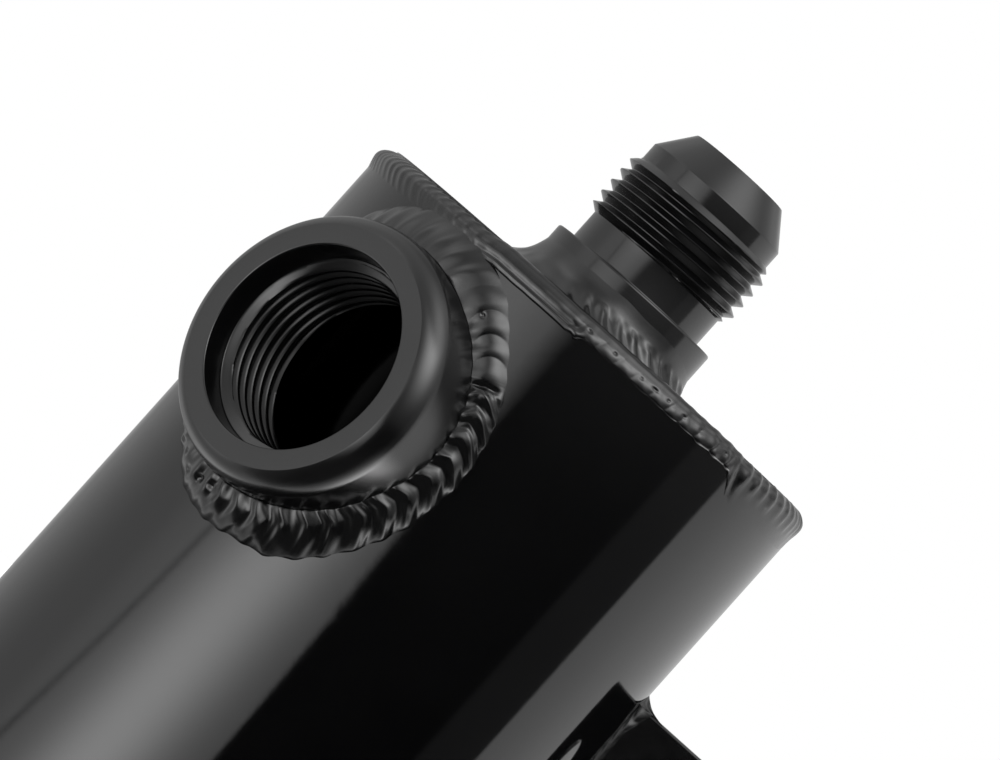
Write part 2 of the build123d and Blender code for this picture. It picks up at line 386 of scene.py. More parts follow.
def wire_wool():
    m, t, b = new_material("knitted_wire")
    p = position(t)
    twist = node(t, "ShaderNodeTexNoise", Scale=260.0, Detail=2.0)
    t.links.new(p, twist.inputs["Vector"])
    bent = node(t, "ShaderNodeVectorMath", operation="MULTIPLY_ADD")
    t.links.new(twist.outputs["Color"], bent.inputs[0])
    bent.inputs[1].default_value = (0.004, 0.004, 0.004)
    t.links.new(p, bent.inputs[2])
    strands = None
    for turn, scale in (((0, 0, 0.6), 900.0), ((0.9, 0, -0.5), 1000.0), ((0, 1.1, 0.2), 850.0)):
        mp = node(t, "ShaderNodeMapping")
        mp.inputs["Rotation"].default_value = turn
        t.links.new(bent.outputs[0], mp.inputs["Vector"])
        w = node(t, "ShaderNodeTexWave", wave_type="BANDS", Scale=scale, Distortion=6.0)
        w.inputs["Detail"].default_value = 2.0
        t.links.new(mp.outputs[0], w.inputs["Vector"])
        if strands is None:
            strands = w.outputs["Fac"]
        else:
            mx = node(t, "ShaderNodeMath", operation="MAXIMUM")
            t.links.new(strands, mx.inputs[0])
            t.links.new(w.outputs["Fac"], mx.inputs[1])
            strands = mx.outputs[0]
    t.links.new(tint(t, span(t, strands, 0.45, 0.95, 0, 1), (0.03, 0.03, 0.03), (0.55, 0.55, 0.54)), b.inputs["Base Color"])
    b.inputs["Metallic"].default_value = 1.0
    t.links.new(span(t, strands, 0.3, 1.0, 0.6, 0.3), b.inputs["Roughness"])
    bump(t, b, strands, 0.0004)
    return m


mat_wool = wire_wool()


def plated_steel():
    m, t, b = new_material("plug_plated_steel")
    p = position(t)
    cloud = noise(t, p, 140.0, 5.0, 0.6)
    t.links.new(tint(t, span(t, cloud, 0.3, 0.7, 0, 1), (0.40, 0.41, 0.41), (0.56, 0.56, 0.54)), b.inputs["Base Color"])
    b.inputs["Metallic"].default_value = 1.0
    fine = noise(t, p, 900.0, 4.0, 0.6)
    t.links.new(span(t, fine, 0.3, 0.7, 0.24, 0.40), b.inputs["Roughness"])
    bump(t, b, fine, 0.000006)
    return m


mat_plug = plated_steel()


def copper():
    m, t, b = new_material("washer_annealed_copper")
    p = position(t)
    cloud = noise(t, p, 220.0, 5.0, 0.65)
    t.links.new(tint(t, span(t, cloud, 0.3, 0.7, 0, 1), (0.50, 0.22, 0.12), (0.78, 0.42, 0.26)), b.inputs["Base Color"])
    b.inputs["Metallic"].default_value = 1.0
    t.links.new(span(t, cloud, 0.3, 0.7, 0.30, 0.48), b.inputs["Roughness"])
    bump(t, b, noise(t, p, 1500.0, 3.0, 0.6), 0.000006)
    return m


mat_copper = copper()

for n, m in (
    ("top_plate", mat_body),
    ("bottom_plate", mat_body),
    ("inlet_drop_tube", mat_inner),
    ("drop_tube_weld", mat_inner),
    ("upper_baffle", mat_inner),
    ("lower_baffle", mat_inner),
    ("baffle_tacks", mat_inner),
    ("mesh_pad", mat_wool),
    ("drain_bung", mat_drain),
):
    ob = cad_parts[n]
    ob.data.materials.clear()
    ob.data.materials.append(m)


# ------------------------------------------------------------------ can tube
def build_tube():
    columns = 288
    step = TAU / columns
    half = 29                                    # columns each side of the port in the patch round its hole
    low_z, high_z = PORT_Z - 25.0, PORT_Z + 25.0
    rows_mid = 40
    z_low = np.linspace(0.6, low_z, 24)
    z_mid = np.linspace(low_z, high_z, rows_mid + 1)
    centre = PORT_A
    hole_r = PORT_R + 0.03
    shell = Shell()
    turn = centre + step * np.arange(-half, columns - half)      # starts at the patch's left side

    def wall(radius, foot, head):
        z_first = z_low.copy()
        z_first[0] = foot
        full = np.concatenate([z_first])
        r = np.full((len(full), columns), radius)
        shell.grid(about_z(r, full[:, None] * np.ones(columns), np.broadcast_to(turn, r.shape)), wrap_v=True)
        side = turn[2 * half:]
        side = np.concatenate([side, [turn[0] + TAU]])
        r = np.full((len(z_mid), len(side)), radius)
        shell.grid(about_z(r, z_mid[:, None] * np.ones(len(side)), np.broadcast_to(side, r.shape)))
        top = np.array([high_z, head])
        r = np.full((2, columns), radius)
        shell.grid(about_z(r, top[:, None] * np.ones(columns), np.broadcast_to(turn, r.shape)), wrap_v=True)
        # ring of faces from the patch's edge in to the hole
        edge = (
            [(step * k, low_z) for k in range(-half, half)]
            + [(step * half, z) for z in z_mid[:-1]]
            + [(step * k, high_z) for k in range(half, -half, -1)]
            + [(-step * half, z) for z in z_mid[:0:-1]]
        )
        edge = np.array(edge)
        a = np.arctan2(edge[:, 1] - PORT_Z, TUBE_R * np.sin(edge[:, 0]))
        inner = np.stack([np.arcsin(hole_r * np.cos(a) / radius), PORT_Z + hole_r * np.sin(a)], -1)
        steps = np.linspace(0, 1, 9)
        mix = edge[None] * (1 - steps[:, None, None]) + inner[None] * steps[:, None, None]
        r = np.full(mix.shape[:2], radius)
        shell.grid(about_z(r, mix[..., 1], centre + mix[..., 0]), wrap_v=True)
        last = about_z(np.full(len(edge), radius), inner[:, 1], centre + inner[:, 0])
        return last

    outer = wall(TUBE_R, 0.6, SKIN_TOP)
    inside = wall(BORE_R, 0.15, TUBE_TOP)
    shell.grid(np.stack([outer, inside]), wrap_v=True)

    def ring(r0, z0, r1, z1):
        r = np.array([[r0], [r1]]) * np.ones(columns)
        z = np.array([[z0], [z1]]) * np.ones(columns)
        shell.grid(about_z(r, z, np.broadcast_to(turn, r.shape)), wrap_v=True)

    ring(TUBE_R, SKIN_TOP, PLATE_R + 0.1, SKIN_TOP)
    ring(PLATE_R + 0.1, SKIN_TOP, PLATE_R + 0.1, TUBE_TOP)
    ring(PLATE_R + 0.1, TUBE_TOP, BORE_R, TUBE_TOP)
    ring(TUBE_R, 0.6, TUBE_R - 0.6, 0.0)
    ring(TUBE_R - 0.6, 0.0, BORE_R + 0.15, 0.0)
    ring(BORE_R + 0.15, 0.0, BORE_R, 0.15)
    return shell.make("can_tube_smooth", "can", "can_tube", mat_body, sharp=30)


build_tube()


# ------------------------------------------------------------------ top fitting
def build_fitting():
    z = BODY_H
    loop = rounded(
        [
            (FIT_BORE, z - SPIGOT_L, 0.2),
            (SPIGOT_R, z - SPIGOT_L, 0.2),
            (SPIGOT_R, z + 0.0, 0),
            (COLLAR_R, z + 0.0, 0),
            (COLLAR_R, z + COLLAR_H, 0.35),
            (NECK_R, z + COLLAR_H, 0.25),
            (NECK_R, z + FT_Z0 - 0.4, 0),
            (NOSE_R, z + FT_Z1 + 0.1, 0),
            (NOSE_R, z + CONE_Z, 0.22),
            (TIP_R, z + TIP_Z, 0.16),
            (FIT_BORE, z + TIP_Z, 0.12),
        ]
    )
    loop = [tuple(p) for p in loop]
    cut = [k for k, p in enumerate(loop) if abs(p[1] - (z + FT_Z0 - 0.4)) < 1e-6][0] + 1
    before, after = loop[:cut], loop[cut:]
    a, b = z + FT_Z0 - 0.4, z + FT_Z1 + 0.1

    def radius(phase, h):
        flank = np.interp((phase + 0.14) % 1.0, [0, 0.03, 0.10, 0.13, 0.49, 0.52, 0.57, 0.60, 0.97, 1.0],
                          [FT_R - 0.06, FT_R, FT_R, FT_R - 0.06, FT_MINOR + 0.09, FT_MINOR, FT_MINOR, FT_MINOR + 0.09, FT_R - 0.14, FT_R - 0.06])
        lead = np.minimum(NECK_R + 1.25 * (h - a), NOSE_R + 1.0 * (b - h))
        return np.maximum(np.minimum(flank, lead), NECK_R)

    shell = Shell()
    phases = sorted((p - 0.14) % 1.0 for p in (0.0, 0.03, 0.065, 0.10, 0.13, 0.19, 0.25, 0.31, 0.37, 0.43, 0.49, 0.52, 0.57, 0.60, 0.66, 0.72, 0.78, 0.84, 0.91, 0.97))
    threaded(shell, before, after + [before[0]], about_z, a, b, TPI12, radius, phases, n=208)
    return shell.make("top_fitting_threaded", "can", "top_fitting", mat_fitting, sharp=38)


build_fitting()


# ------------------------------------------------------------------ side port bung
def build_bung():
    face, inner = PORT_FACE, PORT_INNER
    # the shoulder: a round that the flat face cuts off with a clear edge
    drop = SHOULDER * math.cos(LEAN)
    bend = [(PORT_R - SHOULDER * (1 - math.sin(q)), face - drop + SHOULDER * math.cos(q), 0) for q in np.linspace(math.pi / 2, LEAN, 30)[:-1]]
    edge = (PORT_R - SHOULDER * (1 - math.sin(LEAN)), face, 0.10)
    outside = rounded(
        [(PORT_R, inner, 0.3)]
        + bend
        + [
            edge,
            (MOUTH_R, face, 0.3),
            (MOUTH_R - 0.1, face - MOUTH_D, 0.2),
            (PORT_MAJOR + 0.15, face - MOUTH_D - 0.15, 0.0),
            (PORT_MINOR + 0.5, inner, 0.0),
        ],
        steps=10,
    )
    outside = [tuple(p) for p in outside]
    before, after = outside[:-1], outside[-1:]
    top, low = face - MOUTH_D - 0.15, inner

    def radius(phase, h):
        flank = np.interp((phase - 0.33) % 1.0, [0, 0.05, 0.30, 0.35, 0.62, 0.66, 0.74, 0.78, 1.0],
                          [PORT_MINOR + 0.06, PORT_MINOR, PORT_MINOR, PORT_MINOR + 0.06, PORT_MAJOR - 0.06, PORT_MAJOR, PORT_MAJOR, PORT_MAJOR - 0.06, PORT_MINOR + 0.06])
        lead = np.maximum(PORT_MAJOR + 0.15 - 2.4 * (top - h), PORT_MINOR + 0.5 - (h - low))
        return np.minimum(np.maximum(flank, lead), PORT_MAJOR + 0.15)

    shell = Shell()
    phases = sorted((p + 0.33) % 1.0 for p in (0.0, 0.05, 0.12, 0.18, 0.24, 0.30, 0.35, 0.42, 0.49, 0.56, 0.62, 0.66, 0.70, 0.74, 0.78, 0.85, 0.92))
    threaded(shell, before, after + [before[0]], about_port, top, low, TPI12, radius, phases, n=224)
    return shell.make("side_port_bung_threaded", "can", "side_port_bung", mat_bung, sharp=38)


build_bung()


# ------------------------------------------------------------------ rim bead
def smooth_curve(points, m):
    """m points along a smooth curve through a few points, with normals to its left."""
    p = np.array(points, float)
    d = np.concatenate([[0], np.cumsum(np.linalg.norm(np.diff(p, axis=0), axis=1))])
    d /= d[-1]
    fine = np.linspace(0, 1, 400)
    ext = np.vstack([2 * p[0] - p[1], p, 2 * p[-1] - p[-2]])
    out = []
    for t in fine:
        k = min(np.searchsorted(d, t, side="right") - 1, len(p) - 2)
        u = (t - d[k]) / (d[k + 1] - d[k])
        a, b, c, e = ext[k], ext[k + 1], ext[k + 2], ext[k + 3]
        out.append(0.5 * ((2 * b) + (c - a) * u + (2 * a - 5 * b + 4 * c - e) * u * u + (3 * b - a - 3 * c + e) * u ** 3))
    out = np.array(out)
    s = np.concatenate([[0], np.cumsum(np.linalg.norm(np.diff(out, axis=0), axis=1))])
    want = np.linspace(0, s[-1], m)
    q = np.stack([np.interp(want, s, out[:, k]) for k in range(2)], -1)
    g = np.gradient(q, axis=0)
    g /= np.linalg.norm(g, axis=1)[:, None]
    return q, np.stack([g[:, 1], -g[:, 0]], -1)


def build_rim_bead():
    n, m = 1600, 52
    length = TAU * TUBE_R
    s = np.linspace(0, length, n, endpoint=False)
    a = np.degrees(s / TUBE_R) - 180.0            # degrees from the front, + to the tab's side
    c = np.linspace(0, 1, m)
    R = TUBE_R
    crisp = smooth_curve(                          # stands out of the tube with a clear toe
        [(R - 0.30, 197.12), (R + 0.28, 197.16), (R + 0.37, 197.38), (R + 0.26, 198.0), (R + 0.03, 198.6), (R - 0.26, 199.2), (R - 0.75, 199.75), (R - 1.5, 200.15), (R - 2.2, 200.26), (PLATE_R - 1.0, 199.94)], m
    )
    flowing = smooth_curve(                        # runs out smoothly down the tube
        [(R - 0.06, 195.2), (R + 0.06, 195.9), (R + 0.26, 196.7), (R + 0.42, 197.5), (R + 0.38, 198.1), (R + 0.10, 198.65), (R - 0.35, 199.1), (R - 1.1, 199.55), (R - 2.1, 199.9), (PLATE_R - 1.0, 199.94)], m
    )
    rounded = smooth_curve(                        # the same, past the tab's side
        [(R - 0.02, 193.4), (R + 0.03, 194.4), (R + 0.10, 195.4), (R + 0.20, 196.4), (R + 0.29, 197.3), (R + 0.26, 198.1), (R + 0.02, 198.75), (R - 0.42, 199.25), (R - 1.0, 199.68), (R - 1.8, 199.96), (PLATE_R - 1.0, 199.94)], m
    )
    roped = smooth_curve(
        [(R - 0.25, 196.2), (R + 0.20, 196.5), (R + 0.46, 197.3), (R + 0.42, 198.2), (R + 0.05, 198.9), (R - 0.6, 199.55), (R - 1.4, 199.98), (R - 2.2, 200.14), (PLATE_R - 1.0, 199.94)], m
    )
    lipped = smooth_curve(                         # a thin lip low on the tube, with a hollow over it
        [(R - 0.30, 196.25), (R + 0.20, 196.33), (R + 0.36, 196.45), (R + 0.40, 196.72), (R + 0.43, 197.0), (R + 0.37, 197.12), (R + 0.16, 197.25), (R + 0.10, 197.5), (R + 0.16, 197.9), (R + 0.14, 198.4), (R - 0.1, 199.0), (R - 0.6, 199.6), (R - 1.4, 200.05), (R - 2.2, 200.2), (PLATE_R - 1.0, 199.94)], m
    )
    w_flow = np.interp(a, [-125, -105, -31, -25], [0, 1, 1, 0])
    w_round = np.interp(a, [39.5, 44, 118, 135], [0, 1, 1, 0])
    w_lip = np.interp(a, [-31, -25, -5.5, -2.5], [0, 1, 1, 0])
    w_crisp = np.interp(a, [-5.5, -2.5, 39.5, 44], [0, 1, 1, 0])
    w_rope = 1 - w_flow - w_round - w_crisp - w_lip
    kinds = ((w_flow, flowing), (w_round, rounded), (w_lip, lipped), (w_crisp, crisp), (w_rope, roped))
    section = sum(w[:, None, None] * kind[0] for w, kind in kinds)
    out = sum(w[:, None, None] * kind[1] for w, kind in kinds)

    def pitch(x):
        d = math.degrees(x / TUBE_R) - 180
        return float(np.interp(d, [-180, -100, -35, -25, 0, 30, 45, 95, 120, 180], [2.6, 2.3, 2.3, 2.8, 3.2, 3.2, 3.0, 3.1, 2.6, 2.6]))

    rip = Ripples(length, pitch, True, 11)
    height = np.interp(a, [-180, -110, -90, -60, -33, -27, -8, 0, 24, 30, 40, 46, 100, 130, 180], [0.20, 0.16, 0.13, 0.11, 0.09, 0.03, 0.03, 0.05, 0.07, 0.12, 0.18, 0.24, 0.24, 0.20, 0.20])
    sway = 2.1 * (2 * c - 1) ** 2
    k, p = rip.at(s[:, None] - sway[None])
    window = np.sin(math.pi * c) ** 0.55
    fade = np.interp(a, [40, 48, 120, 138], [0, 1, 1, 0])[:, None]         # here the scales stay on the upper part
    upper = window * (1 - fade * (1 - np.clip((c - 0.25) / 0.35, 0, 1)))
    lift = height[:, None] * (rip.tall[k] * swell(p, 1.4) - 0.45) * upper
    slow = wobble(length, (31.0, 19.0, 11.0), 5)(s)
    lift = lift + 0.06 * slow[:, None] * window
    # lower row of lumps along the front
    row = np.interp(a, [-6, -2, 38, 43], [0, 1, 1, 0])
    lumps = Ripples(length, lambda x: 3.2, True, 13, uneven=0.22)
    kl, pl = lumps.at(s[:, None] - 0.9 * (c[None] - 0.2) / 0.3)
    bold = row * np.interp(a, [0, 14, 30], [0.11, 0.14, 0.22])
    lift = lift + bold[:, None] * (lumps.tall[kl] * lump(pl) - 0.4) * bell(c[None] - 0.24, 0.20)
    lift = lift - 0.07 * row[:, None] * bell(c[None] - 0.52, 0.07)
    for d, cc, rs, rc, hgt in (
        (-3.4, 0.16, 0.8, 0.07, 0.30),
        (29.3, 0.25, 1.2, 0.20, 0.14), (34.0, 0.25, 1.1, 0.20, 0.17), (38.6, 0.24, 1.1, 0.18, 0.15),
    ):
        ds = np.radians(a - d) * TUBE_R
        lift = lift + hgt * bell(ds, rs)[:, None] * bell(c - cc, rc)
    for d, cc, rs, rc, hgt in (
        (-1.6, 0.36, 0.34, 0.045, 0.20), (4.9, 0.37, 0.28, 0.04, 0.18), (12.0, 0.34, 0.26, 0.035, 0.13), (15.4, 0.36, 0.50, 0.035, 0.18),
        (19.1, 0.38, 0.26, 0.04, 0.16), (23.6, 0.34, 0.30, 0.04, 0.15), (28.4, 0.37, 0.24, 0.04, 0.12), (36.4, 0.36, 0.40, 0.05, 0.18),
    ):
        ds = np.radians(a - d) * TUBE_R
        lift = lift - hgt * bell(ds, rs)[:, None] * bell(c - cc, rc)
    # uneven lower toe, lower along the lip and with a hook at the restart
    toe = 0.14 * (lump(lumps.at(s)[1]) - 0.5) * -row + 0.10 * wobble(length, (6.1, 3.4), 21)(s) * (0.3 + 0.7 * row) * (1 - w_flow - w_round)
    toe = toe + 0.10 * slow * w_lip - 0.9 * bell(np.radians(a + 3.0) * TUBE_R, 0.7)
    toe = toe[:, None] * np.clip(1 - c / 0.3, 0, 1)
    r = section[..., 0] + lift * out[..., 0]
    z = section[..., 1] + lift * out[..., 1] + toe
    root = np.array([(PLATE_R - 0.9, 199.7), (PLATE_R + 0.15, 199.2), (PLATE_R + 0.15, 197.0), (TUBE_R - 0.6, 196.0)])
    r = np.concatenate([r, np.broadcast_to(root[:, 0], (n, 4))], 1)
    z = np.concatenate([z, np.broadcast_to(root[:, 1], (n, 4))], 1)
    z[:, -1] = np.minimum(196.0, z[:, 0] - 0.05)
    turn = np.radians(a - 90.0)
    shell = Shell()
    shell.grid(about_z(r, z, turn[:, None] * np.ones(r.shape[1])), wrap_u=True, wrap_v=True)
    return shell.make("top_seam_bead", "can", "top_seam_weld", mat_weld, sharp=80)


build_rim_bead()


# ------------------------------------------------------------------ fillet beads round a Z axis
def fillet_ring(name, node_name, corner_r, corner_z, leg_r, leg_z, crown, pitch, height, seed, sway, n, m, material, body="can", lean=0.0, shape=None):
    """A fillet bead round the can's axis: leg_r along the flat, leg_z along the round wall."""
    mean = corner_r + leg_r / 2.5
    length = TAU * mean
    s = np.linspace(0, length, n, endpoint=False)
    a = np.degrees(s / mean) - 180.0
    c = np.linspace(0, 1, m)
    rip = Ripples(length, lambda x: pitch, True, seed)
    slow = wobble(length, (23.0, 13.0, 8.0), seed + 1)(s)
    k, p = rip.at(s[:, None] - sway * (2 * c - 1)[None] ** 2 - lean * (c - 0.5)[None])
    grow, rise, hump, rough = (np.ones(n), np.ones(n), np.full(n, crown), np.full(n, height)) if shape is None else shape(a)
    scal = rip.tall[k] * swell(p) - 0.4
    lr = leg_r * (grow + 0.04 * slow)
    lz = leg_z * (rise + 0.03 * slow)
    toe_a = np.stack([lr * np.sign(1), np.zeros(n)], -1)       # on the flat
    toe_b = np.stack([np.zeros(n), lz], -1)                     # on the wall
    base = toe_b[:, None, :] * (1 - c)[None, :, None] + toe_a[:, None, :] * c[None, :, None]
    nrm = np.stack([np.abs(lz), np.abs(lr)], -1)
    nrm = nrm / np.linalg.norm(nrm, axis=1)[:, None]
    nrm = nrm * np.array([1.0, np.sign(leg_z)])
    window = np.sin(math.pi * c) ** 0.6
    if shape is not None:
        window = window * np.clip((c - 0.34) / 0.22, 0, 1)        # the upper part flows smoothly into the wall
    lift = hump[:, None] * np.sin(math.pi * c)[None] + rough[:, None] * scal * window[None]
    q = base + lift[..., None] * nrm[:, None, :]
    # scalloped lower toe
    q[..., 0] += (0.20 * rough / max(height, 1e-6))[:, None] * (swell(p) - 0.4) * np.clip(c - 0.7, 0, 1)[None] / 0.3 * np.sign(leg_r)
    r = corner_r + q[..., 0]
    z = corner_z + q[..., 1]
    inn = np.array([(0.3 * leg_r, -0.25 * np.sign(leg_z)), (-0.25 * np.sign(leg_r), -0.25 * np.sign(leg_z)), (-0.25 * np.sign(leg_r), 0.3 * leg_z)])
    r = np.concatenate([r, np.broadcast_to(corner_r + inn[:, 0], (n, 3))], 1)
    z = np.concatenate([z, np.broadcast_to(corner_z + inn[:, 1], (n, 3))], 1)
    shell = Shell()
    turn = np.radians(a - 90.0)
    shell.grid(about_z(r, z, turn[:, None] * np.ones(r.shape[1])), wrap_u=True, wrap_v=True)
    return shell.make(name, body, node_name, material, sharp=80)


def fitting_bead_shape(a):
    grow = np.interp(a, [-180, -120, -90, -45, 0, 45, 90, 130, 180], [0.9, 1.2, 1.36, 1.2, 0.95, 0.62, 0.22, 0.5, 0.9])
    rise = np.interp(a, [-180, -120, -90, -45, 0, 45, 90, 130, 180], [0.8, 1.05, 1.2, 1.28, 1.3, 1.2, 0.65, 0.7, 0.8])
    hump = np.interp(a, [-180, -120, -90, -45, -15, 10, 60, 90, 180], [-0.2, -0.5, -1.0, -1.0, -0.85, -0.7, -0.35, 0.0, -0.2])
    rough = np.interp(a, [-180, -110, -80, -40, -22, -10, 50, 80, 130, 180], [0.30, 0.12, 0.05, 0.06, 0.20, 0.46, 0.46, 0.30, 0.26, 0.30])
    return grow, rise, hump, rough


fillet_ring("top_fitting_bead", "top_fitting_weld", COLLAR_R, BODY_H, 3.4, 4.5, 0.2, 3.4, 0.45, 31, 0.6, 1000, 30, mat_weld, lean=3.0, shape=fitting_bead_shape)
fillet_ring("bottom_seam_bead", "bottom_seam_weld", BORE_R, FLOOR_Z, -3.2, -3.2, 0.35, 2.4, 0.26, 41, 1.5, 1500, 20, mat_weld)
fillet_ring("drain_bung_bead", "drain_bung_weld", DRAIN_R, FLOOR_Z, 3.2, -3.2, 0.35, 2.2, 0.26, 51, 1.2, 700, 20, mat_weld)


# ------------------------------------------------------------------ saddle bead round the port
def build_port_bead():
    n, m = 1500, 38
    t = np.linspace(0, TAU, n, endpoint=False) - math.pi       # -180..180, 0 at the tab's side, 90 at the top
    d = np.degrees(t)
    rho_mid = PORT_R + 1.8
    hc_mid = np.sqrt(TUBE_R ** 2 - (rho_mid * np.cos(t)) ** 2)
    path = np.stack([rho_mid * np.cos(t), rho_mid * np.sin(t), hc_mid], -1)
    seg = np.linalg.norm(np.roll(path, -1, 0) - path, axis=1)
    s = np.concatenate([[0], np.cumsum(seg)[:-1]])
    length = float(seg.sum())
    c = np.linspace(0, 1, m)

    def pitch(x):
        g = float(np.interp(x, s, d))
        return float(np.interp(g, [-180, -120, -80, 33, 36, 75, 85, 180], [3.2, 3.2, 3.9, 3.9, 3.3, 3.3, 3.2, 3.2]))

    rip = Ripples(length, pitch, True, 63, uneven=0.24)
    slow = wobble(length, (27.0, 15.0, 9.0), 64)(s)
    rope = np.interp(d, [-110, -80, 31, 35], [0, 1, 1, 0], left=0, right=0)
    bulge = np.interp(d, [33, 36, 61, 72], [0, 1, 1, 0], left=0, right=0)
    plain = 1 - rope - bulge
    # each swelling's crest is furthest on near the bung and trails on the tube's side
    lead = np.where(c > 0.28, 3.2 * (np.clip(c - 0.28, 0, 1) / 0.72) ** 1.2, 0.9 * (np.clip(0.28 - c, 0, 1) / 0.28) ** 1.5)
    trail = rope[:, None] * lead[None] + bulge[:, None] * 1.2 * ((2 * c - 1) ** 2)[None] + plain[:, None] * (1.6 * (c - 0.3))[None]
    k, p = rip.at(s[:, None] + trail)
    tall = 1 + 0.7 * (rip.tall[k] - 1)
    faint = np.interp(d, [-180, -125, -110, 75, 85, 118, 135, 180], [0.32, 0.30, 0.45, 0.2, 0.13, 0.13, 0.26, 0.32])
    scal = (
        (rope * np.interp(d, [-60, -25], [0.30, 0.42]))[:, None] * (tall * swell(p, 1.15) - 0.45)
        + 0.18 * bulge[:, None] * (tall * lump(p) - 0.55)
        + faint[:, None] * plain[:, None] * (tall * swell(p) - 0.45)
    )
    leg_b = np.interp(
        d, [-180, -110, -75, -51, -40, -22, -12, 0, 14, 26, 37, 47, 64, 80, 95, 130, 180],
        [3.4, 3.4, 3.4, 3.2, 3.4, 4.3, 4.1, 3.5, 2.9, 2.3, 1.6, 1.4, 1.8, 2.1, 2.3, 3.0, 3.4],
    ) + 0.12 * slow
    leg_t = np.interp(
        d, [-180, -140, -115, -104, -90, -75, -66, -57, -43, -28, -16, -8, 4, 14, 27, 41, 51, 60, 68, 78, 90, 102, 120, 150, 180],
        [3.4, 3.6, 4.7, 5.7, 6.3, 6.2, 6.7, 6.3, 4.95, 3.8, 3.3, 2.95, 2.95, 3.05, 3.7, 4.3, 5.1, 6.0, 6.3, 6.4, 6.2, 6.2, 5.4, 3.9, 3.4],
    ) - 0.25 + 0.10 * slow * np.interp(d, [60, 75, 105, 120], [1, 0.2, 0.2, 1])
    at_b, at_t = rip.at(s + trail[:, 0])[1], rip.at(s + trail[:, -1])[1]
    scallop = 0.42 * rope + 0.22 * bulge + 0.12 * plain
    leg_b = leg_b + scallop * (swell(at_b, 1.2) - 0.55)
    leg_t = leg_t + 0.62 * scallop * (swell(at_t, 1.2) - 0.5)
    hc = np.sqrt(TUBE_R ** 2 - (PORT_R * np.cos(t)) ** 2)
    toe_b = np.stack([np.full(n, PORT_R - 0.02), np.minimum(hc + leg_b, 46.6)], -1)
    rt = PORT_R + leg_t
    toe_t = np.stack([rt, np.sqrt(TUBE_R ** 2 - (rt * np.cos(t)) ** 2) - 0.03], -1)
    base = toe_b[:, None] * (1 - c)[None, :, None] + toe_t[:, None] * c[None, :, None]
    chord = toe_t - toe_b
    nrm = np.stack([-chord[:, 1], chord[:, 0]], -1)
    nrm = nrm / np.linalg.norm(nrm, axis=1)[:, None]
    hump = np.interp(d, [-180, -110, -90, -60, -30, 30, 36, 72, 82, 110, 140, 180], [0.5, 0.7, 0.9, 1.0, 0.9, 0.95, 0.55, 0.55, 0.45, 0.35, 0.4, 0.5])
    window = np.sin(math.pi * c)[None] ** 0.5
    power = (0.8 + 0.25 * bulge)[:, None]
    lift = hump[:, None] * np.sin(math.pi * c[None]) ** power + scal * window ** (1 + bulge)[:, None]
    fine = Ripples(length, lambda x: 1.35, True, 66, uneven=0.3)
    kf, pf = fine.at(s[:, None] + 1.15 * trail)
    lift = lift + 0.075 * rope[:, None] * (fine.tall[kf] * swell(pf) - 0.45) * window
    for g, cc, rs, rc, hgt in (
        (57.5, 0.40, 0.38, 0.05, 0.30),
        (-97.0, 0.35, 0.6, 0.08, 0.50), (-104.0, 0.55, 0.7, 0.08, 0.50), (-111.0, 0.4, 0.5, 0.07, 0.45), (-90.0, 0.25, 0.6, 0.08, 0.40), (-118.0, 0.5, 0.6, 0.08, 0.4),
        (33.5, 0.30, 0.40, 0.22, 0.50), (33.0, 0.65, 0.45, 0.18, 0.35),
    ):
        ds = np.interp(g, d, s) - s
        lift = lift - hgt * bell(ds, rs)[:, None] * bell(c[None] - cc, rc)
    q = base + lift[..., None] * nrm[:, None]
    rho, h = q[..., 0], q[..., 1]
    # hidden root, inside the bung's wall and the tube's wall
    root = np.stack(
        [
            np.stack([rt - 1.0, np.sqrt(TUBE_R ** 2 - ((rt - 1.0) * np.cos(t)) ** 2) - 0.5], -1),
            np.stack([np.full(n, PORT_R - 0.3), hc - 0.5], -1),
            np.stack([np.full(n, PORT_R - 0.3), toe_b[:, 1] - 0.3], -1),
        ],
        1,
    )
    rho = np.concatenate([rho, root[..., 0]], 1)
    h = np.concatenate([h, root[..., 1]], 1)
    shell = Shell()
    shell.grid(about_port(rho, h, t[:, None] * np.ones(rho.shape[1])), wrap_u=True, wrap_v=True)
    return shell.make("side_port_bead", "can", "side_port_weld", mat_weld, sharp=80)


build_port_bead()


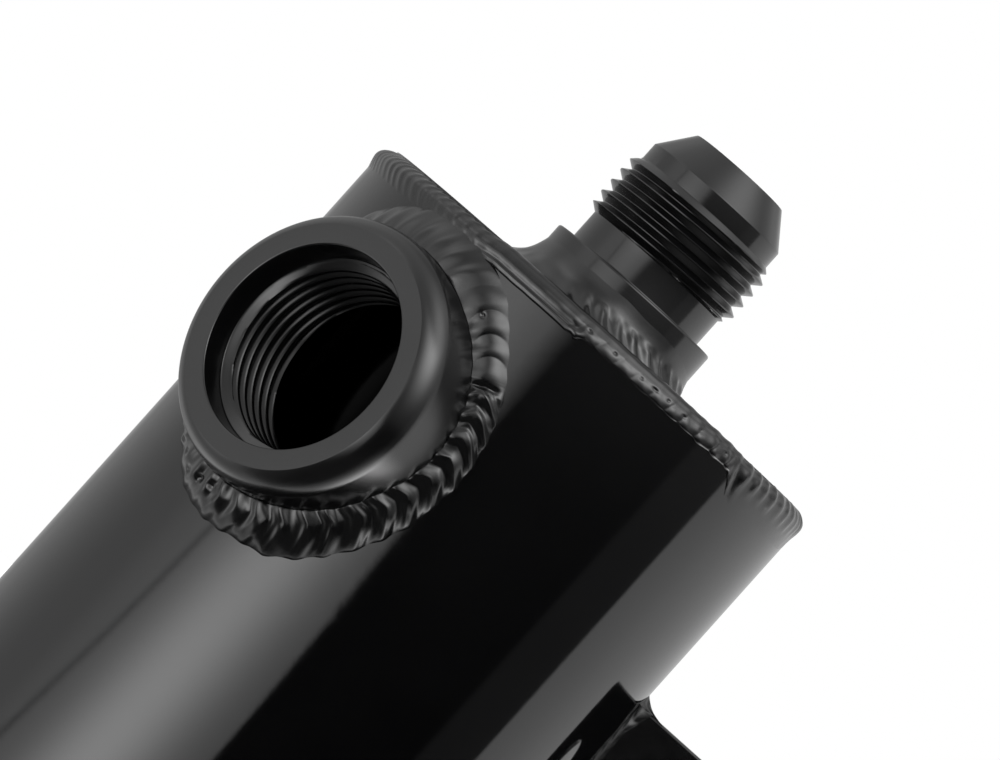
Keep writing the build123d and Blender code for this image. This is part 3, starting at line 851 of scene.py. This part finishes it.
# ------------------------------------------------------------------ mounting tab
def build_tab():
    edge = 0.35
    curve = bpy.data.curves.new("tab_outline", "CURVE")
    curve.dimensions = "2D"
    curve.fill_mode = "BOTH"
    curve.extrude = (TAB_T / 2 - edge) * 0.001
    curve.bevel_depth = edge * 0.001
    curve.bevel_resolution = 3
    curve.offset = -edge * 0.001

    def loop(points):
        sp = curve.splines.new("POLY")
        sp.points.add(len(points) - 1)
        for q, (x, z) in zip(sp.points, points):
            q.co = (x * 0.001, z * 0.001, 0, 1)
        sp.use_cyclic_u = True

    x0, x1 = TUBE_R - 0.35, TUBE_R + TAB_W
    cr = 2.0
    outline = [(x0, TAB_Z0), (x1 - cr, TAB_Z0)]
    outline += [(x1 - cr + cr * math.sin(q), TAB_Z0 + cr - cr * math.cos(q)) for q in np.linspace(0, math.pi / 2, 12)[1:]]
    outline += [(x1 - cr + cr * math.cos(q), TAB_Z1 - cr + cr * math.sin(q)) for q in np.linspace(0, math.pi / 2, 12)]
    outline += [(x0, TAB_Z1)]
    loop(outline)
    for zc in (TAB_Z0 + SLOT_INSET, TAB_Z1 - SLOT_INSET):
        straight = (SLOT_L - SLOT_W) / 2
        pts = [(SLOT_X + SLOT_W / 2 * math.cos(q), zc + straight + SLOT_W / 2 * math.sin(q)) for q in np.linspace(0, math.pi, 33)]
        pts += [(SLOT_X + SLOT_W / 2 * math.cos(q), zc - straight + SLOT_W / 2 * math.sin(q)) for q in np.linspace(math.pi, TAU, 33)]
        loop(pts[::-1])
    tmp = bpy.data.objects.new("tab_outline", curve)
    bpy.context.scene.collection.objects.link(tmp)
    dg = bpy.context.evaluated_depsgraph_get()
    me = bpy.data.meshes.new_from_object(tmp.evaluated_get(dg))
    bpy.data.objects.remove(tmp)
    me.name = "mounting_tab_plate"
    # the outline's plane stands up: its second axis becomes height
    me.transform(Matrix(((1, 0, 0, 0), (0, 0, -1, 0), (0, 1, 0, 0), (0, 0, 0, 1))))
    bm = bmesh.new()
    bm.from_mesh(me)
    bmesh.ops.remove_doubles(bm, verts=bm.verts, dist=2e-6)
    bmesh.ops.dissolve_degenerate(bm, dist=1e-7, edges=bm.edges)
    bmesh.ops.recalc_face_normals(bm, faces=bm.faces)
    for f in bm.faces:
        f.smooth = True
    bm.to_mesh(me)
    bm.free()
    me.set_sharp_from_angle(angle=math.radians(30))
    for p in me.polygons:
        p.use_smooth = abs(p.normal.y) < 0.99        # the two wide faces are flat
    return place(me, "mounting_tab_plate", "can", "mounting_tab", mat_tab)


build_tab()


# ------------------------------------------------------------------ tab stitch beads
def stitch(shell, z0, z1, wrap, seed):
    """A fillet bead up the tab's near side from z0 to z1; wrap +1 or -1 carries it over the tab's end."""
    near = -TAB_T / 2
    parts = []
    run = abs(z1 - z0)
    zs = np.linspace(z0, z1, max(12, int(run * 7)))
    for z in zs:
        last = np.clip(1 - abs(z1 - z) / 4.5, 0, 1) if wrap else 0.0
        parts.append((near, z, (0.0, -1.0, 0.0), 1.05 + 1.15 * last, 0.95 + 0.95 * last, -0.05 - 0.1 * last))
    if wrap:
        for q in np.linspace(0, math.pi / 2, 26)[1:]:
            g = math.sin(q) ** 2
            parts.append((near, z1, (0.0, -math.cos(q), wrap * math.sin(q)), 2.2 + 2.1 * g, 1.9 + 0.1 * g, -0.15 - 0.5 * g))
        for y in np.linspace(near, TAB_T / 2 - 0.25, 22)[1:]:
            parts.append((y, z1, (0.0, 0.0, float(wrap)), 4.3, 2.0, -0.65))
    n = len(parts)
    y = np.array([p[0] for p in parts])
    z = np.array([p[1] for p in parts])
    d = np.array([p[2] for p in parts])
    leg_x, leg_y, hump = (np.array([p[e] for p in parts]) for e in (3, 4, 5))
    size = np.ones(n)
    step = np.sqrt(np.diff(y) ** 2 + np.diff(z) ** 2 + (2.2 * np.linalg.norm(np.diff(d, axis=0), axis=1)) ** 2)
    s = np.concatenate([[0], np.cumsum(step)])
    length = float(s[-1])
    ends = np.clip(np.minimum(s / 2.2, 1.0), 0, 1) ** 0.5
    if not wrap:
        ends = ends * np.clip((length - s) / 2.2, 0, 1) ** 0.5
    m = 18
    c = np.linspace(0, 1, m)
    rip = Ripples(length, lambda q: 2.7, False, seed, uneven=0.25)
    x = (2 * c - 1)[None]
    k, p = rip.at(s[:, None] - 1.5 * x ** 2)
    scal = rip.tall[k] * (swell(p) - 0.4)
    slow = wobble(length, (11.0, 6.0), seed + 1, closed=False)(s)
    size = size * (0.35 + 0.65 * ends) * (1 + 0.05 * slow) * (1 + (0.05 + 0.05 * np.abs(d[:, 2])) * (swell(rip.at(s)[1]) - 0.4))
    ty = y + leg_y * size * d[:, 1]
    tz = z + leg_y * size * d[:, 2]
    toe_tube = np.stack([np.sqrt(TUBE_R ** 2 - ty ** 2) - 0.04, ty, tz], -1)
    toe_tab = np.stack([np.full(n, TUBE_R) + leg_x * size, y + 0.03 * -d[:, 1], z + 0.03 * -d[:, 2]], -1)
    toe_tab[:, 1] = y - 0.04 * d[:, 1]
    base = toe_tube[:, None] * (1 - c)[None, :, None] + toe_tab[:, None] * c[None, :, None]
    nrm = d + np.array((1.0, 0, 0))
    nrm = nrm / np.linalg.norm(nrm, axis=1)[:, None]
    lift = (hump * size)[:, None] * np.sin(math.pi * c)[None] + (0.03 + 0.09 * np.abs(d[:, 2]))[:, None] * scal * np.sin(math.pi * c)[None] ** 0.6
    q = base + lift[..., None] * nrm[:, None]
    root = np.stack(
        [
            np.stack([np.full(n, TUBE_R + 0.5), y - 0.5 * d[:, 1], z - 0.5 * d[:, 2]], -1),
            np.stack([np.full(n, TUBE_R - 0.5), y - 0.4 * d[:, 1], z - 0.4 * d[:, 2]], -1),
            np.stack([np.sqrt(TUBE_R ** 2 - (0.6 * ty + 0.4 * y) ** 2) - 0.5, 0.6 * ty + 0.4 * y, 0.6 * tz + 0.4 * z], -1),
        ],
        1,
    )
    loop = np.concatenate([q, root], 1)
    shell.grid(loop, wrap_v=True)
    for end in (0, -1):
        shell.fan(loop[end], loop[end].mean(0))


def build_tab_beads():
    shell = Shell()
    stitch(shell, TAB_Z1 - 26.0, TAB_Z1, 1, 71)
    stitch(shell, TAB_Z0 + 26.0, TAB_Z0, -1, 75)
    stitch(shell, (TAB_Z0 + TAB_Z1) / 2 - 12, (TAB_Z0 + TAB_Z1) / 2 + 12, 0, 79)
    return shell.make("tab_stitch_beads", "can", "tab_welds", mat_weld, sharp=80)


build_tab_beads()


# ------------------------------------------------------------------ drain plug and washer
def build_plug():
    shell = Shell()
    top, base = 6.5, 1.0
    # threaded shank
    loop = rounded([(0.02, top - 0.3, 0), (PLUG_R - 0.75, top - 0.3, 0), (PLUG_R - 0.75, top + 1.4, 0), (PLUG_R - 1.1, 19.0, 0.2), (0.02, 19.0, 0)])
    loop = [tuple(p) for p in loop]
    before, after = loop[:3], loop[3:]

    def radius(phase, h):
        flank = np.interp(phase, [0, 0.06, 0.16, 0.2, 0.42, 0.48, 0.68, 0.72, 1.0],
                          [PLUG_R - 0.05, PLUG_R, PLUG_R, PLUG_R - 0.05, PLUG_R - 0.86, PLUG_R - 0.92, PLUG_R - 0.92, PLUG_R - 0.86, PLUG_R - 0.05])
        lead = np.minimum(PLUG_R - 0.75 + 1.2 * np.maximum(h - (top + 1.4), 0), PLUG_R - 1.1 + (19.0 - h))
        return np.maximum(np.minimum(flank, lead), PLUG_R - 1.1)

    phases = [0.0, 0.06, 0.11, 0.16, 0.2, 0.31, 0.42, 0.48, 0.58, 0.68, 0.72, 0.86]
    threaded(shell, before, after + [before[0]], about_z, top + 1.4, 18.8, 1.5, radius, phases, n=128)
    # hexagon head: flats, rounded corners, and the turned chamfer on its outer face
    n = 360
    turn = np.linspace(0, TAU, n, endpoint=False)
    flat = PLUG_AF / 2
    corner = flat / np.cos((turn % (TAU / 6)) - TAU / 12)
    soft = -np.log(np.exp(-corner / 0.12) + np.exp(-(flat / math.cos(TAU / 12) - 0.35) / 0.12)) * 0.12
    rows = []
    for z, limit in (
        [(base, 0.02), (base, 4.0), (base, 8.6), (base + 0.03, 9.05), (base + 0.12, 9.3)]
        + [(base + 0.12 + 1.62 * u, 9.35 + 1.62 * u * 1.02) for u in np.linspace(0.02, 1, 16)]
        + [(z, 99.0) for z in np.linspace(base + 1.9, top - 0.3, 6)]
    ):
        rows.append((np.minimum(soft, limit), np.full(n, z)))
    for u in np.linspace(0.25, 1, 4):
        rows.append((soft - 0.3 * (1 - math.cos(u * math.pi / 2)), np.full(n, top - 0.3 + 0.3 * math.sin(u * math.pi / 2))))
    rows.append((np.full(n, 6.0), np.full(n, top)))
    rows.append((np.full(n, 0.02), np.full(n, top)))
    r = np.array([q[0] for q in rows])
    z = np.array([q[1] for q in rows])
    shell.grid(about_z(r, z, np.broadcast_to(turn, r.shape)), wrap_v=True)
    shell.fan(about_z(r[0], z[0], turn), (0, 0, base))
    shell.fan(about_z(r[-1], z[-1], turn), (0, 0, top))
    return shell.make("drain_plug_hex", "plug", "drain_plug", mat_plug, sharp=32)


build_plug()


def build_washer():
    shell = Shell()
    loop = rounded([(7.25, 6.5, 0.25), (11.0, 6.5, 0.45), (11.0, 8.0, 0.45), (7.25, 8.0, 0.25)], steps=4)
    lathe(shell, loop, about_z, n=160)
    return shell.make("drain_plug_washer_round", "washer", "drain_plug_washer", mat_copper, sharp=40)


build_washer()


# ------------------------------------------------------------------ floor, light, camera
def build_floor():
    n, r = 128, 1.3
    me = bpy.data.meshes.new("studio_floor")
    ring = [(r * math.cos(TAU * k / n), r * math.sin(TAU * k / n), -0.0003) for k in range(n)]
    me.from_pydata(ring, [], [list(range(n))])
    ob = bpy.data.objects.new("studio_floor", me)
    bpy.context.scene.collection.objects.link(ob)
    m, t, b = new_material("pale_floor")
    cloud = noise(t, position(t), 4.0, 3.0, 0.5)
    t.links.new(tint(t, cloud, (0.80, 0.80, 0.80), (0.84, 0.84, 0.84)), b.inputs["Base Color"])
    b.inputs["Roughness"].default_value = 0.7
    b.inputs["Emission Color"].default_value = (1, 1, 1, 1)
    b.inputs["Emission Strength"].default_value = 0.35
    me.materials.append(m)
    ob.visible_glossy = False                    # the can shows the studio's panels, not the table's edge


build_floor()


def build_world():
    w = bpy.data.worlds.new("studio")
    bpy.context.scene.world = w
    w.use_nodes = True
    t = w.node_tree
    t.nodes.clear()
    out = t.nodes.new("ShaderNodeOutputWorld")
    direction = node(t, "ShaderNodeTexCoord").outputs["Generated"]
    xyz = node(t, "ShaderNodeSeparateXYZ")
    t.links.new(direction, xyz.inputs[0])

    def math_node(op, a, b=None, clamp=False):
        n = node(t, "ShaderNodeMath", operation=op)
        n.use_clamp = clamp
        for k, v in enumerate((a, b)):
            if v is None:
                continue
            if isinstance(v, (int, float)):
                n.inputs[k].default_value = v
            else:
                t.links.new(v, n.inputs[k])
        return n.outputs[0]

    x, y, z = xyz.outputs
    az = math_node("MULTIPLY", math_node("ARCTAN2", x, math_node("MULTIPLY", y, -1.0)), 180 / math.pi)       # 0 towards the front, + to the tab's side
    el = math_node("MULTIPLY", math_node("ARCSINE", z), 180 / math.pi)

    def curve(value, points):
        """A curve of straight pieces through (degrees, value) points, level past its ends."""
        lo, hi = points[0][0], points[-1][0]
        base, top = min(p[1] for p in points), max(p[1] for p in points)
        n = node(t, "ShaderNodeFloatCurve")
        cm = n.mapping
        cv = cm.curves[0]
        while len(cv.points) < len(points):
            cv.points.new(0.5, 0.5)
        for q, (px, py) in zip(cv.points, points):
            q.location = ((px - lo) / (hi - lo), (py - base) / (top - base))
            q.handle_type = "VECTOR"
        cm.update()
        unit = math_node("MULTIPLY", math_node("SUBTRACT", value, lo), 1 / (hi - lo), clamp=True)
        t.links.new(unit, n.inputs["Value"])
        return math_node("ADD", math_node("MULTIPLY", n.outputs[0], top - base), base)

    def mul(*parts):
        out = parts[0]
        for p in parts[1:]:
            out = math_node("MULTIPLY", out, p)
        return out

    def add(*parts):
        out = parts[0]
        for p in parts[1:]:
            out = math_node("ADD", out, p)
        return out

    def less_one(v):
        return math_node("SUBTRACT", 1.0, v)

    def glow(value, width):
        """exp(-(value/width)^2 / 2)"""
        q = math_node("DIVIDE", value, width)
        return math_node("EXPONENT", mul(q, q, -0.5))

    def spot(azimuth, elevation, width):
        a, e = math.radians(azimuth), math.radians(elevation)
        dot = node(t, "ShaderNodeVectorMath", operation="DOT_PRODUCT")
        t.links.new(direction, dot.inputs[0])
        dot.inputs[1].default_value = (math.cos(e) * math.sin(a), -math.cos(e) * math.cos(a), math.sin(e))
        angle = mul(math_node("ARCCOSINE", math_node("MINIMUM", dot.outputs["Value"], 0.999999)), 180 / math.pi)
        return glow(angle, width)

    # level with the can: a pale panel at the left, a soft light front left, a dark front, a white wall from the right round the back
    panel = curve(az, [(-180, 0.50), (-157, 0.42), (-150, 0.50), (-131, 0.66), (-104, 0.78), (-89, 0.95), (-79, 1.22), (-72, 1.28), (-62, 1.22), (-40, 1.12), (0, 1.08), (80, 1.12), (85, 1.24), (107, 1.27), (122, 1.15), (135, 1.0), (157, 0.8), (180, 0.50)])
    seam = curve(el, [(-12, -91), (-7.1, -78.4), (-5, -70.5), (-3.7, -67.4), (0, -63), (3, -60), (12, -58)])
    panel = mul(panel, less_one(mul(glow(math_node("SUBTRACT", az, seam), 1.2), 0.55)))
    edge = curve(el, [(-20, 1.2), (-8, 0.4), (-4.4, -1.6), (0, -9.8), (2, -12.4), (4, -13.4), (20, -14)])
    soft = curve(el, [(-8, 0.8), (-4, 0.9), (-1.5, 2.4), (0.5, 6.0), (2, 4.2), (6, 5.0)])
    past = math_node("ADD", mul(math_node("DIVIDE", math_node("SUBTRACT", az, edge), soft), 0.5), 0.5, clamp=True)
    right = math_node("MULTIPLY", math_node("SUBTRACT", az, 84.3), 1 / 1.4, clamp=True)
    front = mul(past, less_one(right))
    fall = curve(el, [(-40, 0.0), (-24, 0.25), (-16, 0.80), (-9, 1.0), (-4.6, 0.90), (-2.6, 0.76), (-1.1, 0.50), (0, 0.32), (1, 0.27), (2.1, 0.35), (2.8, 0.26), (4, 0.22), (12, 0.2), (34, 0.12), (60, 0.0)])
    lamp = mul(glow(math_node("ADD", az, 37.5), 14.4), 4.2, fall, less_one(past))
    dim = curve(el, [(-12, 0.0), (-3, 0.0), (0, 0.03), (1.6, 0.14), (4, 0.22), (12, 0.25)])
    dim = add(dim, mul(math_node("MULTIPLY", math_node("SUBTRACT", az, 60.5), 1 / 3.0, clamp=True), 0.10))
    mid = add(mul(panel, less_one(front)), lamp, mul(dim, front))
    above = curve(az, [(-180, 0.36), (-155, 0.45), (-138, 0.72), (-112, 0.86), (-90, 0.88), (-60, 0.75), (-30, 0.45), (0, 0.35), (50, 0.4), (85, 0.75), (112, 0.62), (138, 0.85), (155, 0.45), (180, 0.36)])
    below = curve(az, [(-180, 0.4), (-160, 0.45), (-144, 0.75), (-127, 0.6), (-103, 0.7), (-80, 0.8), (-60, 0.25), (-20, 0.06), (50, 0.06), (86, 0.9), (110, 1.3), (143, 0.9), (160, 0.45), (180, 0.4)])
    crown = curve(el, [(0, 0), (62, 0), (80, 1), (90, 1)])
    w_top = curve(el, [(0, 0), (12, 0), (28, 1), (90, 1)])
    w_low = curve(el, [(-90, 1), (-28, 1), (-14, 0), (0, 0)])
    w_mid = math_node("SUBTRACT", less_one(w_top), w_low)
    above = add(mul(above, less_one(crown)), mul(crown, 0.75))
    spots = add(mul(add(mul(spot(8, 47, 14), 3.6), mul(spot(40, 48, 14), 3.4)), curve(el, [(0, 1), (52, 1), (61, 0.25), (90, 0.1)])), mul(spot(50, 68, 15), 2.0), mul(spot(108, -27, 15), 4.8, curve(el, [(-60, 1), (-20, 1), (-10, 0), (0, 0)])), mul(spot(-83, 34, 9), 0.9), mul(spot(-83, -33, 9), 1.6), mul(spot(-161, -57, 14), 1.3), mul(spot(150, -80, 12), 0.9))
    total = add(mul(mid, w_mid), mul(above, w_top), mul(below, w_low), spots)
    light = node(t, "ShaderNodeBackground")
    light.inputs["Color"].default_value = (1, 1, 1, 1)
    t.links.new(total, light.inputs["Strength"])
    sky = node(t, "ShaderNodeBackground")
    sky.inputs["Color"].default_value = (1, 1, 1, 1)
    sky.inputs["Strength"].default_value = 1.0
    seen = node(t, "ShaderNodeLightPath").outputs["Is Camera Ray"]
    mix = node(t, "ShaderNodeMixShader")
    t.links.new(seen, mix.inputs[0])
    t.links.new(light.outputs[0], mix.inputs[1])
    t.links.new(sky.outputs[0], mix.inputs[2])
    t.links.new(mix.outputs[0], out.inputs["Surface"])


build_world()


def build_camera():
    data = bpy.data.cameras.new("photo_camera")
    data.sensor_width = 36.0
    data.lens = 183.65
    data.clip_start, data.clip_end = 0.01, 50.0
    cam = bpy.data.objects.new("photo_camera", data)
    bpy.context.scene.collection.objects.link(cam)
    roll = math.radians(41.85)
    right, up, back = Vector((1, 0, 0)), Vector((0, 0, 1)), Vector((0, -1, 0))
    cx = right * math.cos(roll) + up * math.sin(roll)
    cy = right * -math.sin(roll) + up * math.cos(roll)
    at = Vector((-0.00597, 0, 0.18515)) + back * 0.750
    cam.matrix_world = Matrix(((cx[0], cy[0], back[0], at[0]), (cx[1], cy[1], back[1], at[1]), (cx[2], cy[2], back[2], at[2]), (0, 0, 0, 1)))
    bpy.context.scene.camera = cam


build_camera()
bpy.context.scene.view_settings.view_transform = "Standard"
bpy.context.scene.view_settings.look = "None"
